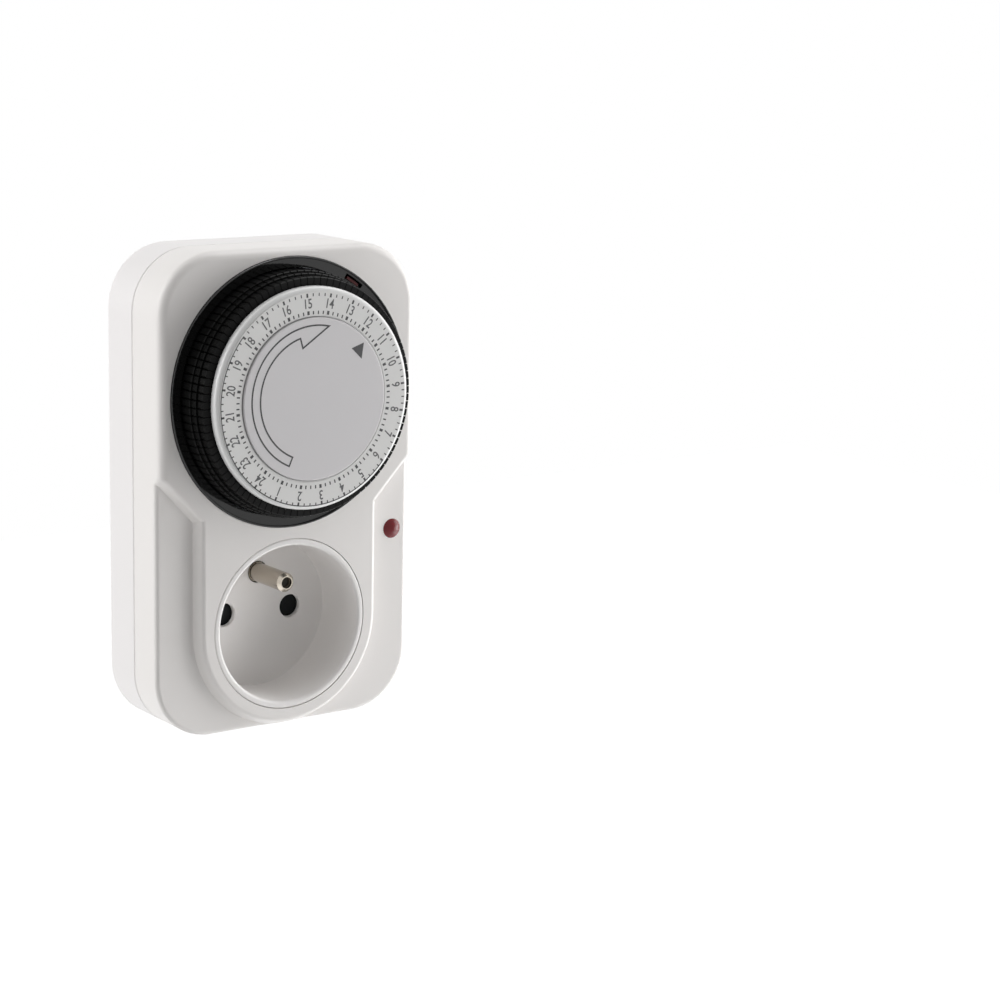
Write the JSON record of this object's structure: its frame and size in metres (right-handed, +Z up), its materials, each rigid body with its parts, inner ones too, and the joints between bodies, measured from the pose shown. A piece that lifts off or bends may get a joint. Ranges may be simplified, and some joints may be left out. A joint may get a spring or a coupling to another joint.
{
  "type": "plug-in timer switch",
  "caption": "Plug-in mains timer: a geared dial with press-down tappets drives a switch between rear plug pins and a shuttered, earthed front socket in a rounded two-part case.",
  "frame": {"origin": "centre of the rear plug's face, midway between its two pins", "axes": "+Y points out of the back into the wall along the plug pins, +Z points up, and the dial and socket face -Y"},
  "size_m": [0.072, 0.0729, 0.119],
  "materials": {
    "case_white": "satin moulded",
    "case_grey": "satin moulded",
    "socket_white": "satin moulded",
    "ring_black": "polished",
    "disc_grey": "smooth",
    "disc_white": "smooth",
    "label_white": "printed",
    "tappet_black": "satin moulded",
    "gear_nylon": "natural",
    "feeler_red": "satin",
    "lamp_red": "translucent",
    "neon_glass": "clear",
    "resistor_tan": "lacquered",
    "coil_copper": "enamelled wire under tape",
    "shutter_grey": "moulded",
    "inner_black": "moulded",
    "steel": "turned",
    "spring_steel": "drawn",
    "zinc_plate": "zinc plated",
    "nickel": "nickel plated",
    "contact_brass": "stamped",
    "wire_brown": "insulated",
    "wire_black": "insulated",
    "wire_red": "insulated",
    "wire_blue": "insulated"
  },
  "bodies": {
    "case": {"front_cover": "case_white", "rear_cover": "case_grey", "socket_insert": "socket_white", "dial_bezel": "ring_black", "centre_disc": "disc_grey", "dial_spindle": "steel", "spindle_clip": "spring_steel", "idler_axle": "steel", "motor_can": "zinc_plate", "motor_coil": "coil_copper", "movement_plate": "zinc_plate", "plate_screws": "steel", "movement_screws": "steel", "case_screws": "steel", "feeler_pin": "steel", "switch_base": "inner_black", "leaf_terminal": "contact_brass", "fixed_contact": "contact_brass", "live_pin": "nickel", "neutral_pin": "nickel", "earth_sleeve": "nickel", "earth_pin": "nickel", "live_contact": "contact_brass", "neutral_contact": "contact_brass", "contact_carrier": "inner_black", "shutter_spring": "spring_steel", "lamp_lens": "lamp_red", "neon_lamp": "neon_glass", "lamp_resistor": "resistor_tan", "live_wire": "wire_brown", "load_wire": "wire_black", "lamp_leads": "wire_red", "motor_leads": "wire_blue"},
    "dial": {"hour_disc": "disc_white", "scale_label": "label_white", "tappet_drum": "tappet_black", "dial_gear": "gear_nylon"},
    "tappets_00_02": {"tappets_00_02": "tappet_black"},
    "tappets_02_04": {"tappets_02_04": "tappet_black"},
    "tappets_04_06": {"tappets_04_06": "tappet_black"},
    "tappets_06_08": {"tappets_06_08": "tappet_black"},
    "tappets_08_10": {"tappets_08_10": "tappet_black"},
    "tappets_10_12": {"tappets_10_12": "tappet_black"},
    "tappets_12_14": {"tappets_12_14": "tappet_black"},
    "tappets_14_16": {"tappets_14_16": "tappet_black"},
    "tappets_16_18": {"tappets_16_18": "tappet_black"},
    "tappets_18_20": {"tappets_18_20": "tappet_black"},
    "tappets_20_22": {"tappets_20_22": "tappet_black"},
    "tappets_22_24": {"tappets_22_24": "tappet_black"},
    "idler": {"idler_gear": "gear_nylon"},
    "motor_output": {"motor_pinion": "contact_brass"},
    "feeler": {"feeler_lever": "feeler_red"},
    "plunger": {"switch_plunger": "gear_nylon"},
    "leaf": {"contact_leaf": "contact_brass"},
    "live_hole_shutter": {"shutter": "shutter_grey"}
  },
  "joints": [
    {"name": "dial_spin", "type": "hinge", "parent": "case", "child": "dial", "pos_m": [0, -0.045, 0.0577], "axis": [0, 1, 0], "continuous": true},
    {"name": "idler_spin", "type": "hinge", "parent": "case", "child": "idler", "pos_m": [-0.01909, -0.035, 0.03861], "axis": [0, 1, 0], "continuous": true},
    {"name": "motor_spin", "type": "hinge", "parent": "case", "child": "motor_output", "pos_m": [-0.00653, -0.033, 0.04586], "axis": [0, 1, 0], "continuous": true},
    {"name": "tappets_00_02_press", "type": "slide", "parent": "dial", "child": "tappets_00_02", "axis": [0, 1, 0], "range_m": [0, 0.0025]},
    {"name": "tappets_02_04_press", "type": "slide", "parent": "dial", "child": "tappets_02_04", "axis": [0, 1, 0], "range_m": [0, 0.0025]},
    {"name": "tappets_04_06_press", "type": "slide", "parent": "dial", "child": "tappets_04_06", "axis": [0, 1, 0], "range_m": [0, 0.0025]},
    {"name": "tappets_06_08_press", "type": "slide", "parent": "dial", "child": "tappets_06_08", "axis": [0, 1, 0], "range_m": [0, 0.0025]},
    {"name": "tappets_08_10_press", "type": "slide", "parent": "dial", "child": "tappets_08_10", "axis": [0, 1, 0], "range_m": [0, 0.0025]},
    {"name": "tappets_10_12_press", "type": "slide", "parent": "dial", "child": "tappets_10_12", "axis": [0, 1, 0], "range_m": [0, 0.0025]},
    {"name": "tappets_12_14_press", "type": "slide", "parent": "dial", "child": "tappets_12_14", "axis": [0, 1, 0], "range_m": [0, 0.0025]},
    {"name": "tappets_14_16_press", "type": "slide", "parent": "dial", "child": "tappets_14_16", "axis": [0, 1, 0], "range_m": [0, 0.0025]},
    {"name": "tappets_16_18_press", "type": "slide", "parent": "dial", "child": "tappets_16_18", "axis": [0, 1, 0], "range_m": [0, 0.0025]},
    {"name": "tappets_18_20_press", "type": "slide", "parent": "dial", "child": "tappets_18_20", "axis": [0, 1, 0], "range_m": [0, 0.0025]},
    {"name": "tappets_20_22_press", "type": "slide", "parent": "dial", "child": "tappets_20_22", "axis": [0, 1, 0], "range_m": [0, 0.0025]},
    {"name": "tappets_22_24_press", "type": "slide", "parent": "dial", "child": "tappets_22_24", "axis": [0, 1, 0], "range_m": [0, 0.0025]},
    {"name": "feeler_tilt", "type": "hinge", "parent": "case", "child": "feeler", "pos_m": [0.02833, -0.03494, 0.06476], "axis": [-0.8192, 0, -0.5736], "range_deg": [0, 6.87]},
    {"name": "plunger_slide", "type": "slide", "parent": "case", "child": "plunger", "axis": [0, 1, 0], "range_m": [0, 0.0013]},
    {"name": "leaf_bend", "type": "hinge", "parent": "case", "child": "leaf", "pos_m": [0.02233, -0.02753, 0.059], "axis": [-1, 0, 0], "range_deg": [0, 4.8]},
    {"name": "shutter_slide", "type": "slide", "parent": "case", "child": "live_hole_shutter", "axis": [0, 0, -1], "range_m": [0, 0.0066], "stiffness_N_per_m": 80, "springref_m": -0.002, "deforming": ["shutter_spring"]}
  ],
  "couplings": [
    {"joint": "idler_spin", "follows": "dial_spin", "ratio": -8},
    {"joint": "motor_spin", "follows": "dial_spin", "ratio": 38.4},
    {"joint": "feeler_tilt", "follows": "tappets_12_14_press", "rad_per_m": 47.896},
    {"joint": "plunger_slide", "follows": "tappets_12_14_press", "ratio": 0.52},
    {"joint": "leaf_bend", "follows": "tappets_12_14_press", "rad_per_m": 33.507}
  ]
}
